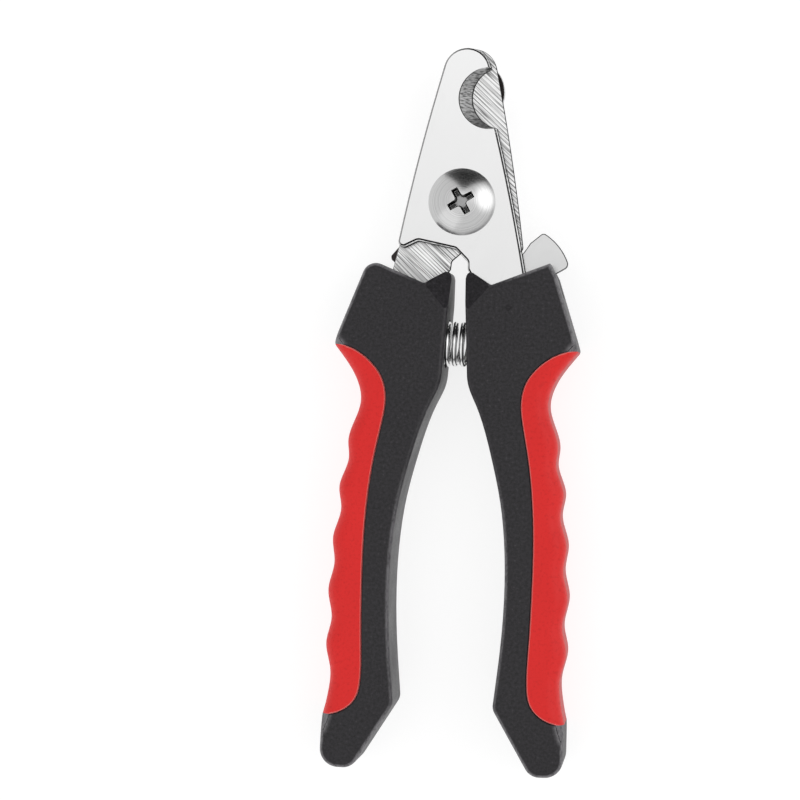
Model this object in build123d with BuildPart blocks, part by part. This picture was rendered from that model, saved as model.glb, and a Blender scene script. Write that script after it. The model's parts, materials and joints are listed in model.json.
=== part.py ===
"""Pet nail trimmer: plier type, with two bevelled jaws, a nail stop, a thumb lock and sprung grips.

The trimmer lies on the backs of its handles, jaws towards +Y, screw head up (+Z). Every outline is
drawn from the pivot: the helper at(h) is the XY plane at height h above the jaws' meeting plane,
with its origin on the pivot's axis. The part's own origin is on the table, half way along it.
"""

from build123d import *

import os
from math import cos, radians, sin

os.makedirs("parts", exist_ok=True)

# ---------------------------------------------------------------- driving dimensions, millimetres
PIVOT_Y = 45.4            # pivot axis ahead of the part's origin
MEET_Z = 8.6              # height of the jaws' meeting plane above the table
GAP = 0.02                # each jaw stands this far off the meeting plane

PLATE = 3.0               # jaw plate thickness
LEAN, LEAN_DEPTH = 0.3, 1.8   # the blanked edges lean in by this much, over this depth
PLATE_CHAMFER = 0.3       # round the polished face
DEBURR = 0.12             # round the ground face, up to the cutting edge
NOTCH_R = 6.8             # radius of each half of the nail hole
NOTCH_INNER = (8.05, 23.35)   # notch centre on the plate's ground face
NOTCH_OUTER = (5.15, 22.95)   # notch centre on its polished face: the difference is the bevel
LOFT_OVERLAP = 0.001      # the notch cutter runs this far past both faces
CLOSED_TURN = -2.0        # turn of the closed rear blade from the jaw's mirror image, degrees
HANDLE_TURN = 0.4         # turn of the closed left handle from the right one's mirror image

SLEEVE_R = 4.0            # pivot sleeve, outside
SCREW_R = 3.0             # M6 shank
RUNNING = 0.05            # radial clearance of every turning bore
HEAD_R = 7.35             # truss head
HEAD_H = 3.3
NUT_FLATS = 10.0
NUT_FACE_R = 4.9          # flat round face left by the nut's bevelled corners
NUT_H = 3.2

GUARD_T = 1.2             # nail stop sheet
GUARD_EDGE = 0.15         # chamfer round it
GUARD_HEAD = (0.3, 25.2)  # centre of the stop's round head
GUARD_HEAD_R = 7.5
GUARD_STANDOFF = 2.5      # the head is joggled this far back from the blades

HANDLE_FRONT = 7.4        # front and back faces, from the meeting plane
HANDLE_BACK = -MEET_Z
HANDLE_ROUND = 1.0        # rounding of the handles' edges
FINGER_ROUND = 3.5        # rounding of the grip under the fingers
GRIP_WALL = 2.4           # thickness of the soft grip over the hard core
GROOVE, GROOVE_DEEP = 0.36, 0.5   # width and depth of the line between grip and handle
CORE_X, FAR_X = 10.0, 40.0    # inside and outside everything on the grip
GATE_MARK, GATE_R, GATE_DEEP = (11.45, -23.0), 0.6, 0.15   # ring left by the mould's gate

SPRING_Y = -31.2          # spring axis, from the pivot
SPRING_Z = (HANDLE_FRONT + HANDLE_BACK) / 2
SPRING_WIRE = 1.2
SPRING_R = 4.45           # mean coil radius
SPRING_TURNS = 9
SEAT_X = 7.6              # pocket floors, either side of the middle
SEAT_R = 5.35
PEG_R = 2.5               # pegs inside the spring's ends
PEG_TIP_X = 3.4
PEG_CHAMFER = 0.5

LOCK_PIN = (12.4, -21.5)  # lock rivet
LOCK_PIN_R = 1.5
LOCK_BOSS_R = 3.3         # round end of the lever
LOCK_ROOM = 0.3           # clearance round it in the handle's slot
LOCK_T = 2.6              # lever thickness
LOCK_EDGE = 0.2           # chamfer round it
LOCK_SLOT = ((9.0, -21.5), (10.6, -6), (30, -6), (30, -17.4), (15.2, -23.6))
HEEL_CLEAR_R = 17.3       # the lever stays outside this circle, which the blade's heel sweeps


PIVOT_AXIS = Axis((0, PIVOT_Y, 0), (0, 0, 1))


def at(height=0.0):
    """The XY plane through the pivot axis, at a height from the jaws' meeting plane."""
    return Plane(origin=(0, PIVOT_Y, MEET_Z + height))


def rims(part):
    """The edges round the front and back faces of a flat part."""
    flats = part.faces().filter_by(Axis.Z).sort_by(Axis.Z)
    return flats[-1].outer_wire().edges() + flats[0].outer_wire().edges()


# ---------------------------------------------------------------- jaw plates
TIP_LEFT, TIP_TOP, TIP_RIGHT = (-5.2, 30.2), (0.1, 34.1), (5.2, 29.8)
NOTCH_FOOT = (6.96, 16.65)
FLANK_MIDDLE = (11.35, -0.8)
FLANK_FOOT = (14.45, -15.2)
LEFT_MIDDLE = (-10.15, 9.9)
LEFT_FOOT = (-14.35, -11.3)
UNDERCUT = (-9.4, -8.75)
THROAT_TOP = (-1.1, -10.35)
THROAT_SIDE = (1.62, -13.0)
THROAT_FOOT = (1.72, -14.8)
PLATE_CORNERS = ((LEFT_FOOT, 1.3), (UNDERCUT, 1.5), (THROAT_TOP, 1.2), (THROAT_SIDE, 1.0))
TANG = ((16.0, -26.5), (15.8, -42.0), (10.8, -42.0), (10.2, -24.0), (4.6, -19.6))
TANG_KEYS, TANG_KEY_R = ((13.2, -30.0), (13.3, -37.5)), 1.6


def jaw_plate(ground_face, bore_r):
    """One stamped jaw with its tang, from its ground face outwards; both jaws are this stamping."""
    with BuildPart() as jaw:
        with BuildSketch(ground_face) as outline:
            with BuildLine():
                ThreePointArc(TIP_LEFT, TIP_TOP, TIP_RIGHT)
                Line(TIP_RIGHT, NOTCH_FOOT)
                ThreePointArc(NOTCH_FOOT, FLANK_MIDDLE, FLANK_FOOT)
                Polyline(FLANK_FOOT, *TANG, THROAT_FOOT, THROAT_SIDE, THROAT_TOP, UNDERCUT, LEFT_FOOT)
                ThreePointArc(LEFT_FOOT, LEFT_MIDDLE, TIP_LEFT)
            make_face()
            for point, radius in PLATE_CORNERS:
                fillet(outline.vertices().sort_by_distance(point)[0], radius)
        extrude(amount=PLATE)
        outwards = Axis(ground_face.origin, ground_face.z_dir)
        face = jaw.faces().sort_by(outwards)[-1]
        chamfer(face.edges(), LEAN, LEAN_DEPTH, reference=face)
        chamfer(jaw.faces().sort_by(outwards)[-1].edges(), PLATE_CHAMFER)
        chamfer(jaw.faces().sort_by(outwards)[0].edges(), DEBURR)
        with BuildSketch(ground_face.offset(-LOFT_OVERLAP)):
            with Locations(NOTCH_INNER):
                Circle(NOTCH_R)
        with BuildSketch(ground_face.offset(PLATE + LOFT_OVERLAP)):
            with Locations(NOTCH_OUTER):
                Circle(NOTCH_R)
        loft(mode=Mode.SUBTRACT)
        with BuildSketch(ground_face):
            Circle(bore_r)
            with Locations(LOCK_PIN):
                Circle(LOCK_PIN_R)
            with Locations(TANG_KEYS):
                Circle(TANG_KEY_R)
        extrude(amount=PLATE, mode=Mode.SUBTRACT)
    return jaw.part


front_face = at(GAP)
rear_face = Plane(
    origin=(0, PIVOT_Y, MEET_Z - GAP),
    x_dir=(-cos(radians(CLOSED_TURN)), -sin(radians(CLOSED_TURN)), 0),
    z_dir=(0, 0, -1),
)

with BuildPart() as front_jaw:
    add(jaw_plate(front_face, SLEEVE_R))

with BuildPart() as rear_blade:
    add(jaw_plate(rear_face, SLEEVE_R + RUNNING))

# ---------------------------------------------------------------- pivot stack, front to back
JAW_FRONT = GAP + PLATE
BLADE_BACK = -JAW_FRONT
SPACER_T = 0.52
GUARD_FRONT = BLADE_BACK - SPACER_T - GAP
GUARD_BACK = GUARD_FRONT - GUARD_T
WASHER_T = 0.5
GUARD_WASHER_R, NUT_WASHER_R = 7.0, 6.2
NUT_FRONT = GUARD_BACK - GAP - WASHER_T
RECESS_SPAN, RECESS_ARM, RECESS_DEPTH, RECESS_TURN = 6.3, 1.7, 2.3, 31
RECESS_ROOT, RECESS_TAPER = 0.55, 12      # rounding between the arms, and the walls' slope in degrees
RIM_H = 0.45                              # upright rim of the screw's head
DOME_SHARE, DOME_DROP = 0.55, 0.78        # at this share of its radius the dome is this far below its top
TIP_CHAMFER = 0.5

with BuildPart() as pivot_screw:
    with BuildSketch(Plane(origin=(0, PIVOT_Y, MEET_Z), x_dir=(1, 0, 0), z_dir=(0, -1, 0))):
        with BuildLine():
            top, rim, tip = JAW_FRONT + HEAD_H, JAW_FRONT + RIM_H, NUT_FRONT - NUT_H
            ThreePointArc((0, top), (HEAD_R * DOME_SHARE, top - DOME_DROP), (HEAD_R, rim))
            Polyline(
                (HEAD_R, rim), (HEAD_R, JAW_FRONT), (SCREW_R, JAW_FRONT),
                (SCREW_R, tip + TIP_CHAMFER), (SCREW_R - TIP_CHAMFER, tip), (0, tip), (0, top),
            )
        make_face()
    revolve(axis=PIVOT_AXIS)
    with BuildSketch(at(JAW_FRONT + HEAD_H)) as recess:
        for angle in (RECESS_TURN, RECESS_TURN + 90):
            Rectangle(RECESS_SPAN, RECESS_ARM, rotation=angle)
        inner_corners = recess.vertices().group_by(lambda v: round((v.X**2 + v.Y**2) ** 0.5, 2))[0]
        fillet(inner_corners, RECESS_ROOT)
    extrude(amount=-RECESS_DEPTH, taper=RECESS_TAPER, mode=Mode.SUBTRACT)


def ring(top, bottom, outer_r, inner_r):
    """A plain washer or tube about the pivot, between two heights."""
    with BuildPart() as washer:
        with BuildSketch(at(bottom)):
            Circle(outer_r)
            Circle(inner_r, mode=Mode.SUBTRACT)
        extrude(amount=top - bottom)
    return washer.part


with BuildPart() as pivot_sleeve:
    add(ring(JAW_FRONT, GUARD_BACK - GAP, SLEEVE_R, SCREW_R))

with BuildPart() as guard_washer:
    add(ring(BLADE_BACK - GAP, BLADE_BACK - SPACER_T, GUARD_WASHER_R, SLEEVE_R))

with BuildPart() as pivot_washer:
    add(ring(GUARD_BACK - GAP, NUT_FRONT, NUT_WASHER_R, SCREW_R))

with BuildPart() as pivot_nut:
    with BuildSketch(at(NUT_FRONT - NUT_H)):
        RegularPolygon(NUT_FLATS / 2, 6, major_radius=False)
        Circle(SCREW_R, mode=Mode.SUBTRACT)
    extrude(amount=NUT_H)
    with BuildSketch(at(NUT_FRONT - NUT_H)):
        Circle(NUT_FACE_R)
    extrude(amount=NUT_H, taper=-45, mode=Mode.INTERSECT)

# the stop's plan, then its side view, whose sheet steps back between the two ends of the joggle
GUARD_HUB_R = 7.4
GUARD_STEM = ((-4.4, 0), (5.0, 0), (4.4, 25), (-3.8, 25))
GUARD_TAIL = ((-2.0, -6.8), (-14.6, -13.9), (-16.4, -12.2), (-7.2, -1.2))
GUARD_TAIL_ROUND = 0.8
JOGGLE_START, JOGGLE_END, JOGGLE_SHIFT = 9.4, 13.4, 0.4
GUARD_REACH, GUARD_WIDE = (-20, 40), 60

with BuildPart() as safety_guard:
    with BuildSketch(at(HANDLE_BACK)):
        Circle(GUARD_HUB_R)
        with Locations(GUARD_HEAD):
            Circle(GUARD_HEAD_R)
        for outline in (GUARD_STEM, GUARD_TAIL):
            with BuildLine():
                Polyline(*outline, close=True)
            make_face()
    extrude(amount=-HANDLE_BACK)
    with BuildSketch(Plane(origin=(-GUARD_WIDE / 2, PIVOT_Y, MEET_Z), x_dir=(0, 1, 0), z_dir=(1, 0, 0))):
        with BuildLine():
            low, high = GUARD_REACH
            front, back = GUARD_FRONT, GUARD_BACK
            Polyline(
                (low, front), (JOGGLE_START, front), (JOGGLE_END, front - GUARD_STANDOFF),
                (high, front - GUARD_STANDOFF), (high, back - GUARD_STANDOFF),
                (JOGGLE_END - JOGGLE_SHIFT, back - GUARD_STANDOFF), (JOGGLE_START - JOGGLE_SHIFT, back),
                (low, back), close=True,
            )
        make_face()
    extrude(amount=GUARD_WIDE, mode=Mode.INTERSECT)
    with BuildSketch(at(GUARD_BACK)):
        Circle(SLEEVE_R + RUNNING)
    extrude(amount=GUARD_T, mode=Mode.SUBTRACT)
    fillet(safety_guard.edges().filter_by(Axis.Z).sort_by(Axis.X)[:2], GUARD_TAIL_ROUND)
    # every edge of the sheet's two sides, but not the folds of the joggle, which run along X
    sides = safety_guard.faces().filter_by(lambda face: abs(face.normal_at().Z) > 0.5)
    sheet_edges = ShapeList(edge for side in sides for edge in side.outer_wire().edges())
    chamfer(sheet_edges.filter_by(Axis.X, reverse=True), GUARD_EDGE)

# ---------------------------------------------------------------- thumb lock
LOCK_FRONT = -0.1
LOCK_BACK = LOCK_FRONT - LOCK_T
SLOT_BACK = BLADE_BACK - GAP
RIVET_HEAD_R, RIVET_HEAD_H = 2.6, 1.2
TAB_TOP, TAB_SIDE, TAB_END = (17.95, -6.0), (21.75, -9.2), (23.9, -13.3)
LEVER_ARM = ((20.6, -15.3), (15.3, -20.0), (9.5, -20.0), (12.6, -13.5), (13.0, -10.2))

with BuildPart() as lock_lever:
    with BuildSketch(at(LOCK_BACK)) as lever:
        with BuildLine():
            ThreePointArc(TAB_TOP, TAB_SIDE, TAB_END)
            Polyline(TAB_END, *LEVER_ARM, TAB_TOP)
        make_face()
        fillet(lever.vertices().sort_by_distance(TAB_TOP)[0], 0.9)
        fillet(lever.vertices().sort_by_distance(TAB_END)[0], 1.3)
        with Locations(LOCK_PIN):
            Circle(LOCK_BOSS_R)
            Circle(LOCK_PIN_R + RUNNING, mode=Mode.SUBTRACT)
        Circle(HEEL_CLEAR_R, mode=Mode.SUBTRACT)
    extrude(amount=LOCK_T)
    chamfer(rims(lock_lever), LOCK_EDGE)

with BuildPart() as lock_washer:
    with BuildSketch(at(SLOT_BACK)):
        with Locations(LOCK_PIN):
            Circle(LOCK_BOSS_R - LOCK_ROOM)
            Circle(LOCK_PIN_R, mode=Mode.SUBTRACT)
    extrude(amount=LOCK_BACK - SLOT_BACK - GAP)

with BuildPart() as lock_rivet:
    with BuildSketch(at(SLOT_BACK - RIVET_HEAD_H)):
        with Locations(LOCK_PIN):
            Circle(RIVET_HEAD_R)
    extrude(amount=RIVET_HEAD_H)
    with BuildSketch(at(SLOT_BACK)):
        with Locations(LOCK_PIN):
            Circle(LOCK_PIN_R)
    extrude(amount=JAW_FRONT - SLOT_BACK)

# ---------------------------------------------------------------- handles, each drawn on the right
INNER_TOP = (1.6, -16.8)
INNER_SEAT = (2.9, -38.0)
PEAK = (2.1, -14.9)
VEE = (7.4, -18.2)
SHOULDER_ROUND = ((19.75, -13.1), 3.0)    # left: one rounded corner, and its radius
SHOULDER_CUT = ((20.05, -13.1), (21.6, -16.0))   # right: the corner is cut away beside the lock
GRIP_TIP = (27.0, -32.0)
GRIP_END = (27.0, -113.1)
BUTT = (27.1, -124.6)
HEEL = (20.0, -124.75)
KNEE = (11.25, -110.4)
INNER_CURVE = ((5.0, -44.2), (9.0, -56.0), (11.4, -66.2), (12.6, -76.2), (12.9, -87.2), (12.4, -98.0))
# the wave under the fingers: hollows and crests by turns, from the grip's tip
FINGER_WAVES = (
    (24.2, -35.6), (21.9, -39.4), (20.8, -44.3), (23.3, -53.4), (23.05, -56.8), (24.95, -63.4),
    (24.4, -67.9), (26.0, -74.6), (25.5, -79.9), (26.65, -86.0), (25.75, -92.2), (26.75, -97.6),
    (25.7, -103.3), (25.95, -108.2),
)
GRIP_EDGE = (
    (22.1, -33.1), (18.5, -35.7), (15.9, -39.2), (14.95, -43.6), (15.6, -49.0), (17.0, -56.0),
    (18.1, -64.0), (18.8, -75.0), (18.85, -86.0), (18.6, -97.0), (18.5, -105.0), (19.6, -109.6),
    (22.1, -112.0),
)
PLAN_ROUNDS = ((HEEL, 3.5), (BUTT, 4.0), (KNEE, 3.0), (VEE, 0.8), (PEAK, 1.0), (INNER_TOP, 2.0))
FACET_FOOT = (3.3, -23.0)     # where the facet of the inner top corner runs out
FACET_LAND = 0.8              # height of the corner's peak over the steel
THICKNESS = HANDLE_FRONT - HANDLE_BACK


def is_grip_side(edge):
    """True for the long waved edges under the fingers."""
    return edge.length > 80 and edge.center().X > 20


def handle_blank(shoulder, shoulder_r=None):
    """Handle and grip in one, with the line between them cut in; shoulder is its one or two corners."""
    with BuildPart() as blank:
        with BuildSketch(at(HANDLE_BACK)) as whole:
            with BuildLine():
                Polyline(KNEE, HEEL, BUTT, GRIP_END)
                Spline(GRIP_END, *reversed(FINGER_WAVES), GRIP_TIP)
                Polyline(GRIP_TIP, *reversed(shoulder), VEE, PEAK, INNER_TOP, INNER_SEAT)
                Spline(INNER_SEAT, *INNER_CURVE, KNEE, tangents=((1.3, -21), (-1.1, -12)))
            make_face()
            for point, radius in PLAN_ROUNDS:
                fillet(whole.vertices().sort_by_distance(point)[0], radius)
            if shoulder_r:
                fillet(whole.vertices().sort_by_distance(shoulder[0])[0], shoulder_r)
        extrude(amount=THICKNESS)
        fillet([edge for edge in rims(blank) if is_grip_side(edge)], FINGER_ROUND)
        fillet([edge for edge in rims(blank) if not is_grip_side(edge)], HANDLE_ROUND)
        # sloping facets that thin the inner top corner, front and back
        fronts, backs = (HANDLE_FRONT, JAW_FRONT + FACET_LAND), (HANDLE_BACK, BLADE_BACK - FACET_LAND)
        for face_z, peak_z in (fronts, backs):
            face, peak = at(face_z), at(peak_z)
            crease = face.from_local_coords(VEE)
            across = face.from_local_coords(FACET_FOOT) - crease
            normal = across.cross(peak.from_local_coords(PEAK) - crease)
            if normal.Z * (face_z - peak_z) < 0:
                normal = -normal
            split(bisect_by=Plane(origin=crease, z_dir=normal), keep=Keep.BOTTOM)
        # the fine line round the grip
        for face_z in (HANDLE_FRONT, HANDLE_BACK):
            with BuildSketch(at(face_z - GROOVE_DEEP)):
                with BuildLine():
                    Spline(GRIP_TIP, *GRIP_EDGE, GRIP_END)
                trace(line_width=GROOVE)
            extrude(amount=2 * GROOVE_DEEP, mode=Mode.SUBTRACT)
    return blank.part


def grip_of(blank):
    """The soft grip: all of the blank outside the line, less the hard core that fills its middle."""
    with BuildPart() as grip:
        add(blank)
        with BuildSketch(at(HANDLE_BACK)):
            with BuildLine():
                Spline(GRIP_TIP, *GRIP_EDGE, GRIP_END)
                Polyline(GRIP_END, (FAR_X, GRIP_END[1]), (FAR_X, GRIP_TIP[1]), GRIP_TIP)
            make_face()
        extrude(amount=THICKNESS, mode=Mode.INTERSECT)
        with BuildSketch(at(HANDLE_BACK + GRIP_WALL)):
            with BuildLine():
                inset = [(x - GRIP_WALL, y) for x, y in FINGER_WAVES]
                Spline(*inset)
                Polyline(inset[-1], (CORE_X, inset[-1][1]), (CORE_X, inset[0][1]), inset[0])
            make_face()
        extrude(amount=THICKNESS - 2 * GRIP_WALL, mode=Mode.SUBTRACT)
    return grip.part


def spring_pocket(side):
    """The hollow round one end of the spring, 1 right or -1 left: it leaves a peg standing in its floor."""
    spring_axis = Plane(origin=(0, PIVOT_Y + SPRING_Y, MEET_Z + SPRING_Z), z_dir=(side, 0, 0))
    with BuildPart() as pocket:
        with BuildSketch(spring_axis):
            Circle(SEAT_R)
        extrude(amount=SEAT_X)
        with BuildSketch(spring_axis.offset(PEG_TIP_X)):
            Circle(PEG_R)
        extrude(amount=SEAT_X - PEG_TIP_X, mode=Mode.SUBTRACT)
        with BuildSketch(spring_axis.offset(PEG_TIP_X)):
            Circle(PEG_R)
            Circle(PEG_R - PEG_CHAMFER, mode=Mode.SUBTRACT)
        extrude(amount=PEG_CHAMFER)
    return pocket.part


def on_the_left(part):
    """A part made for the right, mirrored and turned about the pivot to the closed left handle's place."""
    return mirror(part, about=Plane.YZ, mode=Mode.PRIVATE).rotate(PIVOT_AXIS, HANDLE_TURN)


right_blank = handle_blank(SHOULDER_CUT)
left_blank = handle_blank(SHOULDER_ROUND[:1], SHOULDER_ROUND[1])

with BuildPart() as right_grip:
    add(grip_of(right_blank))

with BuildPart() as left_grip:
    add(on_the_left(grip_of(left_blank)))

with BuildPart() as left_handle:
    add(on_the_left(left_blank))
    add(left_grip.part, mode=Mode.SUBTRACT)
    add(spring_pocket(-1), mode=Mode.SUBTRACT)
    add(rear_blade.part, mode=Mode.SUBTRACT)

with BuildPart() as right_handle:
    add(right_blank)
    add(right_grip.part, mode=Mode.SUBTRACT)
    add(spring_pocket(1), mode=Mode.SUBTRACT)
    add(front_jaw.part, mode=Mode.SUBTRACT)
    add(lock_rivet.part, mode=Mode.SUBTRACT)
    with BuildSketch(at(SLOT_BACK)):
        with BuildLine():
            Polyline(*LOCK_SLOT, close=True)
        make_face()
        with Locations(LOCK_PIN):
            Circle(LOCK_BOSS_R + LOCK_ROOM)
            Circle(LOCK_PIN_R, mode=Mode.SUBTRACT)
    extrude(amount=GAP - SLOT_BACK, mode=Mode.SUBTRACT)
    with BuildSketch(at(HANDLE_FRONT - GATE_DEEP)):
        with Locations(GATE_MARK):
            Circle(GATE_R)
            Circle(GATE_R / 2, mode=Mode.SUBTRACT)
    extrude(amount=GATE_DEEP, mode=Mode.SUBTRACT)

# ---------------------------------------------------------------- return spring, in its two pockets
COIL_REACH = SEAT_X - SPRING_WIRE / 2 - GAP

with BuildPart() as return_spring:
    with BuildLine() as coil:
        Helix(
            pitch=2 * COIL_REACH / SPRING_TURNS,
            height=2 * COIL_REACH,
            radius=SPRING_R,
            center=(-COIL_REACH, PIVOT_Y + SPRING_Y, MEET_Z + SPRING_Z),
            direction=(1, 0, 0),
            lefthand=True,
        )
    with BuildSketch(Plane(origin=coil.line @ 0, z_dir=coil.line % 0)):
        Circle(SPRING_WIRE / 2)
    sweep(is_frenet=True)

# ---------------------------------------------------------------- one STEP file for each piece
PIECES = {
    "front_jaw": front_jaw,
    "rear_blade": rear_blade,
    "pivot_screw": pivot_screw,
    "pivot_sleeve": pivot_sleeve,
    "guard_washer": guard_washer,
    "safety_guard": safety_guard,
    "pivot_washer": pivot_washer,
    "pivot_nut": pivot_nut,
    "lock_lever": lock_lever,
    "lock_washer": lock_washer,
    "lock_rivet": lock_rivet,
    "right_handle": right_handle,
    "right_grip": right_grip,
    "left_handle": left_handle,
    "left_grip": left_grip,
    "return_spring": return_spring,
}

for name, piece in PIECES.items():
    piece.part.label = name
    export_step(piece.part, f"parts/{name}.step")
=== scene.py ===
"""Looks of the pet nail trimmer: its finishes, its return spring, and the studio round it.

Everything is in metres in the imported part's own frame: the trimmer lies on the table at z = 0 with its
jaws towards +Y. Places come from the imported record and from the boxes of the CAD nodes.
"""
import json
from math import cos, pi, radians, sin

import bpy
from mathutils import Matrix, Vector


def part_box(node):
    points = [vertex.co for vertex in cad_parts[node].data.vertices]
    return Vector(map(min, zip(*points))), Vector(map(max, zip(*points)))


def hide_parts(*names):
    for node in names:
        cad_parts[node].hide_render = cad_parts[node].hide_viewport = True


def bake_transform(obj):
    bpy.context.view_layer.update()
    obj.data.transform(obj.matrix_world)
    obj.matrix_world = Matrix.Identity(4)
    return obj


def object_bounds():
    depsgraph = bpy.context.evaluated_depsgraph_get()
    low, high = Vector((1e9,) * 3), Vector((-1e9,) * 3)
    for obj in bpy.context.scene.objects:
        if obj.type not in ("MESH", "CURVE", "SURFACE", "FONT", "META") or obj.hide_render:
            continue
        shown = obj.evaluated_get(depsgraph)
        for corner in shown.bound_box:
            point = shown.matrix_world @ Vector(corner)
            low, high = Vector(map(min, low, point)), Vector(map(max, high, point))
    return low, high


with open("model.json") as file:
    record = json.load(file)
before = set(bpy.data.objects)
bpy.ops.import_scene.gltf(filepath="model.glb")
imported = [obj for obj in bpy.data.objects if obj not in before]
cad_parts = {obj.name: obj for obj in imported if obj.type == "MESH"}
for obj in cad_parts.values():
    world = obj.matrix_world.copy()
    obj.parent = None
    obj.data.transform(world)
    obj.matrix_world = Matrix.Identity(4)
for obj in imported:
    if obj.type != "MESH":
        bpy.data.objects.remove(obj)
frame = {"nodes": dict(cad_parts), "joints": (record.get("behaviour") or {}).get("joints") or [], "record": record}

CAD_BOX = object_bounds()
MM = 0.001
PIVOT = Vector(frame["joints"][0]["pos_m"])
OPENINGS = {opening["name"]: opening["box_m"] for opening in frame["record"]["physics"]["openings"]}
GRIND_TURN = radians(-48)   # slant of the grinding wheel's lines
GRIND_FEED = 0.72 * MM      # and their spacing


# ---------------------------------------------------------------- short calls for building node trees
def node(tree, kind, inputs=None, **settings):
    """Adds a shader node; an input is given as a value or as the socket to link to it."""
    made = tree.nodes.new("ShaderNode" + kind)
    for key, value in settings.items():
        setattr(made, key, value)
    for key, value in (inputs or {}).items():
        if isinstance(value, bpy.types.NodeSocket):
            tree.links.new(value, made.inputs[key])
        else:
            made.inputs[key].default_value = value
    return made


def calc(tree, operation, first, second=0.0, third=0.0):
    """One operation on up to three numbers, given as values or sockets."""
    return node(tree, "Math", {0: first, 1: second, 2: third}, operation=operation).outputs[0]


def span(tree, value, low, high, to_low=0.0, to_high=1.0):
    """Value taken smoothly from low..high to to_low..to_high."""
    inputs = {0: value, 1: low, 2: high, 3: to_low, 4: to_high}
    return node(tree, "MapRange", inputs, interpolation_type="SMOOTHSTEP").outputs[0]


def blend(tree, share, first, second):
    """The value between first and second."""
    inputs = {0: share, 1: 0.0, 2: 1.0, 3: first, 4: second}
    return node(tree, "MapRange", inputs).outputs[0]


def blend_colours(tree, share, first, second):
    """The colour between first and second."""
    mixer = node(tree, "Mix", {0: share, 6: first, 7: second}, data_type="RGBA")
    return mixer.outputs[2]


def grey(value):
    """A grey colour."""
    return (value, value, value, 1.0)


class Finish:
    """A Principled material that is textured in the piece's own coordinates, in metres."""

    def __init__(self, name, **shader_values):
        self.material = bpy.data.materials.new(name)
        self.material.use_nodes = True
        self.tree = self.material.node_tree
        self.shader = self.tree.nodes["Principled BSDF"]
        for key, value in shader_values.items():
            self.shader.inputs[key.replace("_", " ")].default_value = value
        coordinates = node(self.tree, "TexCoord")
        self.place = coordinates.outputs["Object"]
        place = node(self.tree, "SeparateXYZ", {0: self.place})
        self.across, self.height = place.outputs["X"], place.outputs["Z"]
        normal = node(self.tree, "SeparateXYZ", {0: coordinates.outputs["Normal"]})
        self.sideways, self.facing = normal.outputs["X"], normal.outputs["Z"]
        self.flatness = calc(self.tree, "ABSOLUTE", self.facing)

    def turned(self, turn):
        """The place, turned about the vertical."""
        inputs = {0: self.place, "Rotation": (0, 0, turn)}
        return node(self.tree, "Mapping", inputs, vector_type="POINT").outputs[0]

    def noise(self, scale, stretch=(1, 1, 1), turn=0.0, detail=2.0, roughness=0.5):
        """Noise, 0 to 1; scale is in cells a metre and turn is about the vertical."""
        place = node(self.tree, "Mapping", {0: self.turned(turn), "Scale": stretch}).outputs[0]
        inputs = {"Vector": place, "Scale": scale, "Detail": detail, "Roughness": roughness}
        return node(self.tree, "TexNoise", inputs).outputs[0]

    def scratches(self, scale, width, stretch=(1, 1, 1), turn=0.0):
        """1 along thin lines a few cells apart, 0 between them; width is a share of the noise's range."""
        offset = calc(self.tree, "SUBTRACT", self.noise(scale, stretch, turn), 0.5)
        return span(self.tree, calc(self.tree, "ABSOLUTE", offset), 0.0, width, 1.0, 0.0)

    def feed_lines(self, spacing, width, turn):
        """1 along nearly straight lines, 0 between them; width is a share of their spacing."""
        across = node(self.tree, "SeparateXYZ", {0: self.turned(turn)}).outputs["X"]
        drift = self.noise(300, stretch=(1, 0.1, 1), turn=turn)
        count = calc(self.tree, "MULTIPLY_ADD", drift, 1.6, calc(self.tree, "DIVIDE", across, spacing))
        return span(self.tree, calc(self.tree, "PINGPONG", count, 0.5), 0.0, width, 1.0, 0.0)

    def distance(self, centre):
        """Distance from an upright line through centre, in metres."""
        flat = node(self.tree, "VectorMath", {0: self.place, 1: (1, 1, 0)}, operation="MULTIPLY")
        where = {0: flat.outputs[0], 1: (centre[0], centre[1], 0)}
        return node(self.tree, "VectorMath", where, operation="DISTANCE").outputs["Value"]

    def edge_band(self, slope_low=0.8, slope_high=0.985):
        """1 on faces that slope between flat and upright, such as chamfers and rounded edges."""
        rising = span(self.tree, self.flatness, 0.03, 0.35)
        falling = span(self.tree, self.flatness, slope_low, slope_high, 1.0, 0.0)
        return calc(self.tree, "MULTIPLY", rising, falling)

    def soft_normal(self, radius):
        """The normal with every sharp edge rounded to a radius."""
        return node(self.tree, "Bevel", {"Radius": radius}, samples=6).outputs[0]

    def sharp_edges(self, radius):
        """1 along sharp edges, 0 further from them than the radius."""
        true_normal = node(self.tree, "NewGeometry").outputs["Normal"]
        inputs = {0: self.soft_normal(radius), 1: true_normal}
        likeness = node(self.tree, "VectorMath", inputs, operation="DOT_PRODUCT").outputs["Value"]
        return span(self.tree, likeness, 0.86, 0.995, 1.0, 0.0)

    def wire(self, colour, roughness, relief, strength, depth, rim=0.0):
        """Links the sockets to the shader; relief is a bump of that depth, on edges softened by rim."""
        self.tree.links.new(colour, self.shader.inputs["Base Color"])
        if roughness is not None:
            self.tree.links.new(roughness, self.shader.inputs["Roughness"])
        inputs = {"Height": relief, "Strength": strength, "Distance": depth}
        if rim:
            inputs["Normal"] = self.soft_normal(rim)
        bump = node(self.tree, "Bump", inputs)
        self.tree.links.new(bump.outputs[0], self.shader.inputs["Normal"])
        return self.material


# ---------------------------------------------------------------- finishes
# where each of these fades, as depths in a jaw plate from the face that meets the other jaw
CUTTING_EDGE = 0.2 * MM, 0.35 * MM
TORN_SHADE = 1.65 * MM, 1.9 * MM
NOTCH_LIP = 2.75 * MM, 2.88 * MM
BEVEL_REACH = 7.6 * MM, 8.2 * MM     # and this one as distances from the middle of the notch


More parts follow.
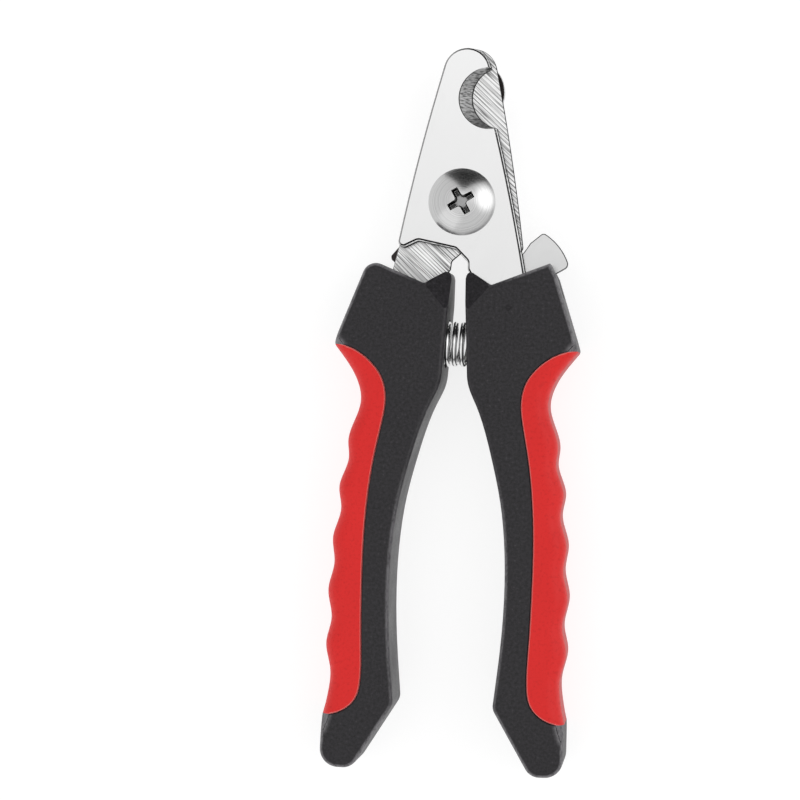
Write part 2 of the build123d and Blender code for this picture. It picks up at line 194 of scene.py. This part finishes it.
def jaw_finish(name, notch_centre, polished_front):
    """Stamped steel: one face polished, the other ground in slanting lines, the notch hollow-ground."""
    made = Finish(name, Metallic=1.0)
    tree = made.tree
    outwards = 1.0 if polished_front else -1.0
    facing = calc(tree, "MULTIPLY", made.facing, outwards)
    depth = calc(tree, "MULTIPLY", calc(tree, "SUBTRACT", made.height, PIVOT.z), outwards)
    ground_face = span(tree, facing, -0.985, -0.9, 1.0, 0.0)
    slope = made.edge_band()
    bevel = calc(tree, "MULTIPLY", slope, span(tree, made.distance(notch_centre), *BEVEL_REACH, 1.0, 0.0))
    wall = span(tree, made.flatness, 0.2, 0.3, 1.0, 0.0)
    chamfer = calc(tree, "SUBTRACT", slope, bevel)
    chamfer = calc(tree, "MULTIPLY", chamfer, calc(tree, "SUBTRACT", 1.0, wall))
    cutting_edge = span(tree, depth, *CUTTING_EDGE, 1.0, 0.0)
    notch_lip = span(tree, depth, *NOTCH_LIP)
    # painted shade: dark lines on the bevel along the cutting edge and the notch's lip
    edge_shade_lines = calc(tree, "MULTIPLY", bevel, calc(tree, "MAXIMUM", cutting_edge, notch_lip))
    # a punched edge is burnished above and torn below: the whole wall is painted near-white as a highlight, and
    # its torn part next to the meeting face is painted black as the shade where the plates meet
    torn_shade = calc(tree, "MULTIPLY", wall, span(tree, depth, *TORN_SHADE, 1.0, 0.0))

    fine = made.noise(4600, stretch=(1, 0.02, 1), turn=GRIND_TURN, detail=3)
    marks = calc(tree, "MAXIMUM", made.feed_lines(GRIND_FEED, 0.22, GRIND_TURN),
                 made.scratches(1500, 0.03, stretch=(1, 0.012, 1), turn=GRIND_TURN))
    patches = made.noise(420, stretch=(1, 0.3, 1), turn=GRIND_TURN)
    marks = calc(tree, "MULTIPLY", marks, span(tree, patches, 0.3, 0.6, 0.5, 1.0))
    strokes = made.noise(3600, stretch=(0.07, 1, 0.3), detail=3)
    haze = made.noise(90, detail=3)
    hairlines = made.scratches(420, 0.006, stretch=(1, 0.08, 1), turn=radians(20))

    polished = blend_colours(tree, haze, grey(0.77), grey(0.81))
    polished = blend_colours(tree, calc(tree, "MULTIPLY", hairlines, 0.12), polished, grey(0.6))
    ground = blend_colours(tree, span(tree, fine, 0.36, 0.58), grey(0.55), grey(0.95))
    ground = blend_colours(tree, marks, ground, grey(0.1))
    hollow = blend_colours(tree, span(tree, strokes, 0.36, 0.62), grey(0.16), grey(0.55))
    colour = blend_colours(tree, ground_face, polished, ground)
    # painted highlight: the burnished wall is painted near-white
    colour = blend_colours(tree, wall, colour, grey(0.97))
    # painted shade: the torn foot of the wall is painted black
    colour = blend_colours(tree, torn_shade, colour, grey(0.03))
    # painted dark reflections on the chamfers: grey on those that face -X, near-black on those that face +X
    chamfer_dark_reflection = blend_colours(tree, span(tree, made.sideways, -0.4, 0.2), grey(0.3), grey(0.04))
    colour = blend_colours(tree, chamfer, colour, chamfer_dark_reflection)
    colour = blend_colours(tree, bevel, colour, hollow)
    colour = blend_colours(tree, edge_shade_lines, colour, grey(0.03))

    # the painted shade at the wall's foot is kept dark at a glancing angle too
    tree.links.new(blend_colours(tree, torn_shade, grey(1.0), grey(0.0)), made.shader.inputs["Specular Tint"])

    roughness = span(tree, haze, 0.2, 0.8, 0.12, 0.19)
    roughness = calc(tree, "MULTIPLY_ADD", ground_face, 0.2, roughness)
    roughness = calc(tree, "MULTIPLY_ADD", calc(tree, "MAXIMUM", bevel, torn_shade), 0.25, roughness)

    relief = calc(tree, "MULTIPLY", calc(tree, "SUBTRACT", fine, marks), ground_face)
    relief = calc(tree, "MULTIPLY_ADD", strokes, bevel, relief)
    return made.wire(colour, roughness, relief, strength=0.3, depth=0.012 * MM)


RECESS_R = 3.3 * MM, 3.5 * MM        # the recess's painted shade fades between these radii
RECESS_TOP = -0.9 * MM, -0.5 * MM    # and between these heights, from the top of the head
STAR_R = 1.1 * MM, 1.5 * MM          # and the painted light in the middle of its floor between these radii


def screw_finish(name, centre, top):
    """Bright turned steel, with painted shade in the walls of its cross recess and on the head's underside,
    painted light in the middle of the recess floor and painted highlights along the recess's edges.
    """
    made = Finish(name, Metallic=1.0)
    tree = made.tree
    radius = made.distance(centre)
    ring_noise = {"W": radius, "Scale": 4500, "Detail": 2}
    turned = node(tree, "TexNoise", ring_noise, noise_dimensions="1D").outputs[0]
    cloud = made.noise(300, detail=3)
    inside = span(tree, radius, *RECESS_R, 1.0, 0.0)
    below_top = calc(tree, "SUBTRACT", made.height, top)
    recess = calc(tree, "MULTIPLY", inside, span(tree, below_top, *RECESS_TOP, 1.0, 0.0))
    floor = span(tree, made.flatness, 0.5, 0.9)
    underside_shade = span(tree, made.facing, -0.3, 0.0, 1.0, 0.0)
    colour = blend_colours(tree, span(tree, turned, 0.3, 0.7), grey(0.56), grey(0.69))
    colour = blend_colours(tree, calc(tree, "MULTIPLY", cloud, 0.25), colour, grey(0.5))
    # painted shade: the underside of the head is painted darker
    colour = blend_colours(tree, underside_shade, colour, grey(0.4))
    # painted light in the middle of the recess floor, painted shade on its walls and arms
    floor_light_share = span(tree, radius, *STAR_R, 0.5, 0.06)
    recess_shade_and_light = blend_colours(tree, calc(tree, "MULTIPLY", floor, floor_light_share), grey(0.012), grey(0.9))
    colour = blend_colours(tree, recess, colour, recess_shade_and_light)
    # painted highlights along the sharp edges of the recess
    recess_edge_highlights = calc(tree, "MULTIPLY", inside, made.sharp_edges(0.14 * MM))
    colour = blend_colours(tree, recess_edge_highlights, colour, grey(0.95))
    roughness = span(tree, turned, 0.3, 0.7, 0.2, 0.27)
    roughness = calc(tree, "MULTIPLY_ADD", recess, 0.25, roughness)
    return made.wire(colour, roughness, turned, strength=0.12, depth=0.004 * MM)


def plated_steel(name, value=0.7, roughness=0.25):
    """Plated fasteners, a little cloudy, with a few handling marks."""
    made = Finish(name, Metallic=1.0)
    tree = made.tree
    cloud = made.noise(400, detail=4)
    speckle = made.noise(5000, detail=2)
    marks = made.scratches(600, 0.012, stretch=(1, 0.15, 1), turn=radians(35))
    colour = blend_colours(tree, cloud, grey(value * 0.86), grey(value * 1.08))
    colour = blend_colours(tree, calc(tree, "MULTIPLY", marks, 0.4), colour, grey(value * 0.55))
    rough = span(tree, cloud, 0.2, 0.8, roughness, roughness + 0.12)
    return made.wire(colour, rough, speckle, strength=0.15, depth=0.01 * MM)


def brushed_sheet(name):
    """Stainless sheet: brushed outside, painted near-black inside as the shade behind the blades, with painted
    highlights on its edges.
    """
    made = Finish(name, Metallic=1.0)
    tree = made.tree
    grain = made.noise(3500, stretch=(1, 0.03, 1), detail=3)
    marks = made.scratches(700, 0.02, stretch=(1, 0.02, 1))
    scale = made.noise(500, detail=4)
    brushed = blend_colours(tree, grain, grey(0.56), grey(0.76))
    brushed = blend_colours(tree, calc(tree, "MULTIPLY", marks, 0.5), brushed, grey(0.35))
    # painted shade: the face towards the jaws is painted near-black
    shade_painted_face = blend_colours(tree, scale, (0.016, 0.014, 0.014, 1), (0.05, 0.043, 0.042, 1))
    inner = span(tree, made.facing, 0.75, 0.95)
    colour = blend_colours(tree, inner, brushed, shade_painted_face)
    # painted highlights along the sheet's edges
    colour = blend_colours(tree, made.edge_band(0.75, 0.9), colour, grey(0.85))
    roughness = span(tree, grain, 0.3, 0.7, 0.22, 0.34)
    return made.wire(colour, roughness, grain, strength=0.2, depth=0.01 * MM)


def tumbled_steel(name):
    """The lock's tab: tumble-polished, soft grey, with painted dark reflections on its edges."""
    made = Finish(name, Metallic=1.0)
    tree = made.tree
    cloud = made.noise(260, detail=3)
    pits = made.noise(3000, detail=2)
    colour = blend_colours(tree, cloud, grey(0.62), grey(0.72))
    # painted dark reflections on the edges
    colour = blend_colours(tree, made.edge_band(), colour, grey(0.05))
    roughness = span(tree, cloud, 0.2, 0.8, 0.2, 0.28)
    return made.wire(colour, roughness, pits, strength=0.15, depth=0.008 * MM)


def spring_wire(name):
    """Bright drawn wire."""
    made = Finish(name, Metallic=1.0)
    streaks = made.noise(2500, detail=3)
    colour = blend_colours(made.tree, streaks, grey(0.74), grey(0.92))
    roughness = span(made.tree, streaks, 0.3, 0.7, 0.04, 0.1)
    return made.wire(colour, roughness, streaks, strength=0.08, depth=0.006 * MM)


FACET_FLATNESS = 0.865               # of the two slanting facets beside each jaw
RUBBED_AND_LIT_PAST = 9 * MM, 14 * MM        # distances from the middle line where the rubbed edges, painted paler as a highlight too, begin


def moulded_black(name):
    """Hard plastic from a spark-eroded mould, rubbed and painted paler as a highlight along its outer edges,
    duller on its facets.
    """
    made = Finish(name)
    tree = made.tree
    grain = made.noise(1500, detail=4, roughness=0.75)
    cloud = made.noise(75, detail=4, roughness=0.6)
    scuffs = made.noise(1300, stretch=(1, 0.5, 1), detail=4, roughness=0.75)
    upright = span(tree, made.flatness, 0.15, 0.35, 1.0, 0.0)
    wall_specks = span(tree, made.noise(2600, detail=3), 0.46, 0.68, 0.0, 0.5)
    wall_specks = calc(tree, "MULTIPLY", upright, wall_specks)
    specks = span(tree, made.noise(1500, detail=1), 0.7, 0.76, 0.0, 0.5)
    facets = calc(tree, "COMPARE", made.flatness, FACET_FLATNESS, 0.01)
    # rubbed wear on the rounded outer edges, painted paler as a highlight too
    worn_and_lit = calc(tree, "MULTIPLY", made.edge_band(0.85, 0.99), span(tree, scuffs, 0.3, 0.62, 0.3, 1.0))
    worn_and_lit = calc(tree, "MULTIPLY", worn_and_lit, calc(tree, "SUBTRACT", 1.0, facets))
    outer = span(tree, calc(tree, "ABSOLUTE", made.across), *RUBBED_AND_LIT_PAST, 0.2, 1.0)
    worn_and_lit = calc(tree, "MULTIPLY", worn_and_lit, outer)
    pits, peaks = (0.003, 0.0025, 0.0036, 1), (0.0228, 0.0204, 0.0244, 1)
    colour = blend_colours(tree, span(tree, grain, 0.3, 0.7), pits, peaks)
    colour = blend_colours(tree, specks, colour, (0.05, 0.047, 0.051, 1))
    colour = blend_colours(tree, wall_specks, colour, (0.07, 0.067, 0.072, 1))
    colour = blend_colours(tree, worn_and_lit, colour, (0.19, 0.183, 0.193, 1))
    tree.links.new(span(tree, facets, 0.0, 1.0, 0.36, 0.22), made.shader.inputs["Specular IOR Level"])
    unevenness = calc(tree, "MULTIPLY_ADD", cloud, 0.5, calc(tree, "MULTIPLY", grain, 0.5))
    roughness = span(tree, unevenness, 0.3, 0.7, 0.36, 0.54)
    return made.wire(colour, roughness, grain, strength=0.8, depth=0.12 * MM, rim=0.2 * MM)


def soft_red(name):
    """Overmoulded rubber, matt, with a fine pebble, with a painted pink highlight on its rim and painted shade on
    its upright side.
    """
    made = Finish(name, Specular_IOR_Level=0.3, Sheen_Weight=0.04)
    tree = made.tree
    pebble = made.noise(1500, detail=4, roughness=0.7)
    cloud = made.noise(80, detail=4)
    # painted shade: the upright side is painted a deeper red
    upright = span(tree, made.flatness, 0.0, 0.3, 0.55, 0.0)
    # painted highlight: the rim beside sharp edges is painted pink
    rim = span(tree, made.flatness, 0.5, 0.8, 0.0, 0.8)
    rim = calc(tree, "MULTIPLY", made.sharp_edges(0.35 * MM), rim)
    colour = blend_colours(tree, cloud, (0.68, 0.0115, 0.0105, 1), (0.76, 0.0145, 0.013, 1))
    colour = blend_colours(tree, span(tree, pebble, 0.5, 0.68, 0.0, 0.6), colour, (0.56, 0.009, 0.008, 1))
    colour = blend_colours(tree, upright, colour, (0.33, 0.004, 0.004, 1))
    colour = blend_colours(tree, rim, colour, (1.0, 0.3, 0.28, 1))
    roughness = span(tree, pebble, 0.3, 0.7, 0.42, 0.56)
    return made.wire(colour, roughness, pebble, strength=0.6, depth=0.08 * MM, rim=0.25 * MM)


def box_middle(corners):
    """The middle of a box that is given by two corners."""
    low, high = (Vector(corner) for corner in corners)
    return (low + high) / 2


def dress(material, *nodes):
    """Gives CAD nodes their finish."""
    for name in nodes:
        materials = frame["nodes"][name].data.materials
        materials.clear()
        materials.append(material)


NOTCH = box_middle(OPENINGS["jaw_notch"])
BLADE_NOTCH = box_middle(OPENINGS["blade_notch"])
SCREW_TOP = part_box("pivot_screw")[1].z
SPRING_FINISH = spring_wire("bright_wire")

dress(jaw_finish("polished_jaw_steel", NOTCH, True), "front_jaw")
dress(jaw_finish("ground_blade_steel", BLADE_NOTCH, False), "rear_blade")
dress(screw_finish("turned_screw_steel", PIVOT, SCREW_TOP), "pivot_screw")
dress(plated_steel("plated_steel"), "pivot_nut", "pivot_washer", "guard_washer", "pivot_sleeve")
dress(plated_steel("rivet_steel", 0.62, 0.3), "lock_rivet", "lock_washer")
dress(brushed_sheet("brushed_guard_sheet"), "safety_guard")
dress(tumbled_steel("tumbled_lock_steel"), "lock_lever")
dress(moulded_black("moulded_black_plastic"), "right_handle", "left_handle")
dress(soft_red("soft_red_rubber"), "right_grip", "left_grip")


# ---------------------------------------------------------------- the return spring
WIRE_R = 0.6 * MM
SPRING_TURNS = 9
END_TURNS = 0.9                # closed turns at each end
CLOSED_PITCH = 2.08 * WIRE_R   # which nearly touch
SPRING_LEAN = 0.08             # slope by which the middle turns lean
RING_STEPS, STEPS_A_TURN = 20, 64


def coil_spring(name, box, finish):
    """A right-hand compression spring along X, closed at both ends, that fills a box."""
    low, high = box
    centre = (low + high) / 2
    coil_r = (high.z - low.z) / 2 - WIRE_R
    half = (high.x - low.x) / 2 - WIRE_R
    open_pitch = (2 * half - 2 * END_TURNS * CLOSED_PITCH) / (SPRING_TURNS - 2 * END_TURNS)

    def along(turn):
        """How far the wire's centre has got after a number of turns."""
        closed = min(turn, END_TURNS) + max(0.0, turn - (SPRING_TURNS - END_TURNS))
        return closed * CLOSED_PITCH + (turn - closed) * open_pitch

    vertices, faces = [], []
    rings = int(SPRING_TURNS * STEPS_A_TURN)
    for i in range(rings + 1):
        turn = i / STEPS_A_TURN
        angle = 2 * pi * turn
        outward = Vector((0, cos(angle), sin(angle)))
        lean = SPRING_LEAN * coil_r * outward.y * sin(pi * turn / SPRING_TURNS) ** 2
        middle = centre + Vector((along(turn) - half + lean, 0, 0)) + coil_r * outward
        for j in range(RING_STEPS):
            around = 2 * pi * j / RING_STEPS
            vertices.append(middle + WIRE_R * (cos(around) * outward + Vector((sin(around), 0, 0))))
    for i in range(rings):
        for j in range(RING_STEPS):
            a, b = i * RING_STEPS + j, i * RING_STEPS + (j + 1) % RING_STEPS
            faces.append((a, a + RING_STEPS, b + RING_STEPS, b))
    faces.append(tuple(range(RING_STEPS)))
    faces.append(tuple(reversed(range(rings * RING_STEPS, (rings + 1) * RING_STEPS))))
    mesh = bpy.data.meshes.new(name)
    mesh.from_pydata(vertices, [], faces)
    mesh.materials.append(finish)
    mesh.shade_smooth()
    made = bpy.data.objects.new(name, mesh)
    bpy.context.scene.collection.objects.link(made)
    return made


spring_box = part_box("return_spring")
spring = coil_spring("spring_coil", spring_box, SPRING_FINISH)
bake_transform(spring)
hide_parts("return_spring")


# ---------------------------------------------------------------- studio
def table_finish():
    """A matt table that glows softly, like a light box."""
    made = Finish("white_table", Roughness=0.8, Emission_Strength=0.8)
    cloud = made.noise(12, detail=3)
    colour = blend_colours(made.tree, cloud, grey(0.25), grey(0.28))
    made.shader.inputs["Emission Color"].default_value = grey(1.0)
    return made.wire(colour, None, made.noise(900, detail=3), strength=0.05, depth=0.05 * MM)


def table_top(half=3.0, gap=0.05 * MM):
    """The floor that the trimmer lies on, a hair below it."""
    mesh = bpy.data.meshes.new("table_top")
    z = CAD_BOX[0].z - gap
    corners = [(-half, -half, z), (half, -half, z), (half, half, z), (-half, half, z)]
    mesh.from_pydata(corners, [], [(0, 1, 2, 3)])
    mesh.materials.append(table_finish())
    made = bpy.data.objects.new("table_top", mesh)
    bpy.context.scene.collection.objects.link(made)


def softbox(name, place, width, height, radiance):
    """An area light turned towards the trimmer."""
    light = bpy.data.lights.new(name, "AREA")
    light.shape = "RECTANGLE"
    light.size, light.size_y = width, height
    light.energy = radiance * pi * width * height
    made = bpy.data.objects.new(name, light)
    made.location = place
    made.rotation_mode = "QUATERNION"
    made.rotation_quaternion = Vector(place).to_track_quat("Z", "Y")
    bpy.context.scene.collection.objects.link(made)


LAMP = (0.80, 0.215, 0.56)     # direction of the lamp behind the tent's right side
# directions that face into the gap between the tent's cloths, from its two sides
GAP_SIDES = (-0.628, 0.683, -0.373), (0.737, 0.593, -0.323)


def studio_sky():
    """A white tent: dark low on the right, with a dark gap in its far side and a lamp behind its right."""
    world = bpy.data.worlds.new("studio")
    bpy.context.scene.world = world
    world.use_nodes = True
    tree = world.node_tree
    direction = node(tree, "TexCoord").outputs["Generated"]
    axes = node(tree, "SeparateXYZ", {0: direction}).outputs
    overhead = span(tree, axes["Y"], 0.0, 0.2, 0.94, 1.18)
    walls = span(tree, axes["X"], -0.7, 0.3, 0.9, 0.12)
    walls = blend(tree, span(tree, axes["Z"], 0.05, 0.4), walls, 0.84)
    sky = blend(tree, span(tree, axes["Z"], 0.8, 0.97), walls, overhead)
    sides = [node(tree, "VectorMath", {0: direction, 1: side}, operation="DOT_PRODUCT").outputs["Value"]
             for side in GAP_SIDES]
    gap = span(tree, calc(tree, "MINIMUM", *sides), -0.02, 0.06, 0.0, 0.97)
    sky = calc(tree, "MULTIPLY", sky, calc(tree, "SUBTRACT", 1.0, gap))
    to_lamp = node(tree, "VectorMath", {0: direction, 1: LAMP}, operation="DOT_PRODUCT").outputs["Value"]
    sky = calc(tree, "ADD", sky, span(tree, to_lamp, 0.84, 0.985, 0.0, 1.1))
    tree.nodes["Background"].inputs["Color"].default_value = grey(1.0)
    tree.links.new(sky, tree.nodes["Background"].inputs["Strength"])


CAMERA_TURN, CAMERA_TILT, CAMERA_ROLL = radians(6.83), radians(-0.17), radians(2.25)
CAMERA_DISTANCE = 0.54
CAMERA_AIM = Vector((-12.32 * MM, 1.43 * MM, PIVOT.z))
SENSOR_WIDTH, LENS = 36.0, 109.8     # in millimetres


def studio_camera():
    """The photograph's view: from straight above, a little to the right, with the trimmer leaning."""
    turn, tilt, roll = CAMERA_TURN, CAMERA_TILT, CAMERA_ROLL
    back = Vector((sin(turn) * cos(tilt), sin(tilt), cos(turn) * cos(tilt)))
    level = Vector((0, 1, 0)).cross(back).normalized()
    rise = back.cross(level)
    right = cos(roll) * level + sin(roll) * rise
    up = cos(roll) * rise - sin(roll) * level
    data = bpy.data.cameras.new("camera")
    data.sensor_width = SENSOR_WIDTH
    data.lens = LENS
    data.clip_start, data.clip_end = 0.01, 20.0
    made = bpy.data.objects.new("camera", data)
    facing = Matrix((right, up, back)).transposed().to_4x4()
    made.matrix_world = Matrix.Translation(CAMERA_AIM + back * CAMERA_DISTANCE) @ facing
    bpy.context.scene.collection.objects.link(made)
    bpy.context.scene.camera = made


table_top()
studio_sky()
softbox("key_softbox", place=(-1.0, -1.1, 1.3), width=1.5, height=1.5, radiance=0.3)
bpy.context.scene.view_settings.view_transform = "Standard"
studio_camera()
